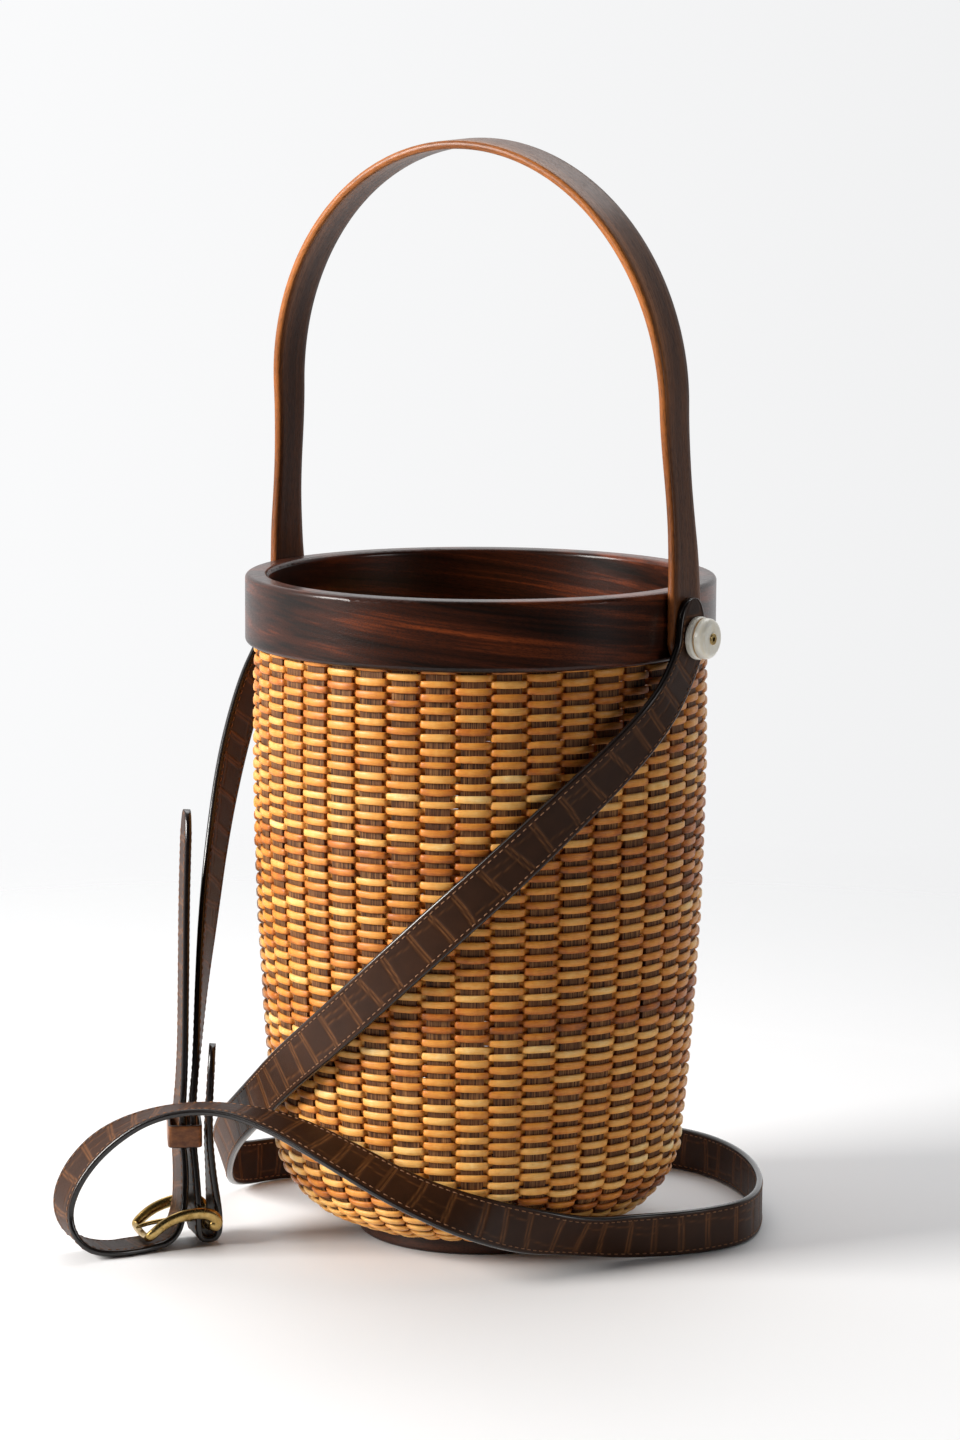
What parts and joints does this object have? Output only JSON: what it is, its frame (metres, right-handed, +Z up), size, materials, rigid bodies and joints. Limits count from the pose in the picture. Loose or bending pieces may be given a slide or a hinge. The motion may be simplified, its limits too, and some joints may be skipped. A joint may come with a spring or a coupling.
{
  "type": "bucket bag",
  "caption": "Woven cane bucket bag with turned wooden rim and base, swinging bail handle and a buckled leather shoulder strap.",
  "frame": {"origin": "centre of the base's underside, on the surface the bag stands on", "axes": "+Z up through the basket's axis, +X along the handle's pivot line towards the pivot of the long strap, -Y towards the buckle"},
  "size_m": [0.2347, 0.2747, 0.456],
  "materials": {
    "walnut_rim": "oiled and polished",
    "walnut_base": "satin",
    "walnut_handle": "satin",
    "staves": "dark stained, matt",
    "cane": "varnished cane",
    "leather": "crocodile-embossed, semi-gloss",
    "brass": "aged",
    "ivory": "polished bone-coloured"
  },
  "bodies": {
    "basket": {"rim": "walnut_rim", "foot_base": "walnut_base", "staves": "staves", "weave": "cane", "strap_long": "leather", "strap_short": "leather", "right_ivory_washer": "ivory", "right_ivory_knob": "ivory", "right_inner_washer": "brass", "right_pivot_pin": "brass", "left_ivory_washer": "ivory", "left_ivory_knob": "ivory", "left_inner_washer": "brass", "left_pivot_pin": "brass"},
    "handle": {"handle": "walnut_handle"},
    "buckle_frame": {"buckle_frame": "brass"},
    "buckle_prong": {"buckle_prong": "brass"},
    "strap_keeper": {"strap_keeper": "leather"}
  },
  "joints": [
    {"name": "handle_swing", "type": "hinge", "parent": "basket", "child": "handle", "pos_m": [0, 0, 0.2586], "axis": [1, 0, 0], "range_deg": [-145, 100]},
    {"name": "buckle_tilt", "type": "hinge", "parent": "basket", "child": "buckle_frame", "pos_m": [-0.0778, -0.0877, 0.0075], "axis": [-0.788, 0.6157, 0], "range_deg": [0, 5]},
    {"name": "prong_lift", "type": "hinge", "parent": "buckle_frame", "child": "buckle_prong", "pos_m": [-0.0778, -0.0877, 0.0075], "axis": [-0.788, 0.6157, 0], "range_deg": [0, 4]},
    {"name": "keeper_slide", "type": "slide", "parent": "basket", "child": "strap_keeper", "axis": [0, 0, 1], "range_m": [-0.001, 0.005]}
  ]
}
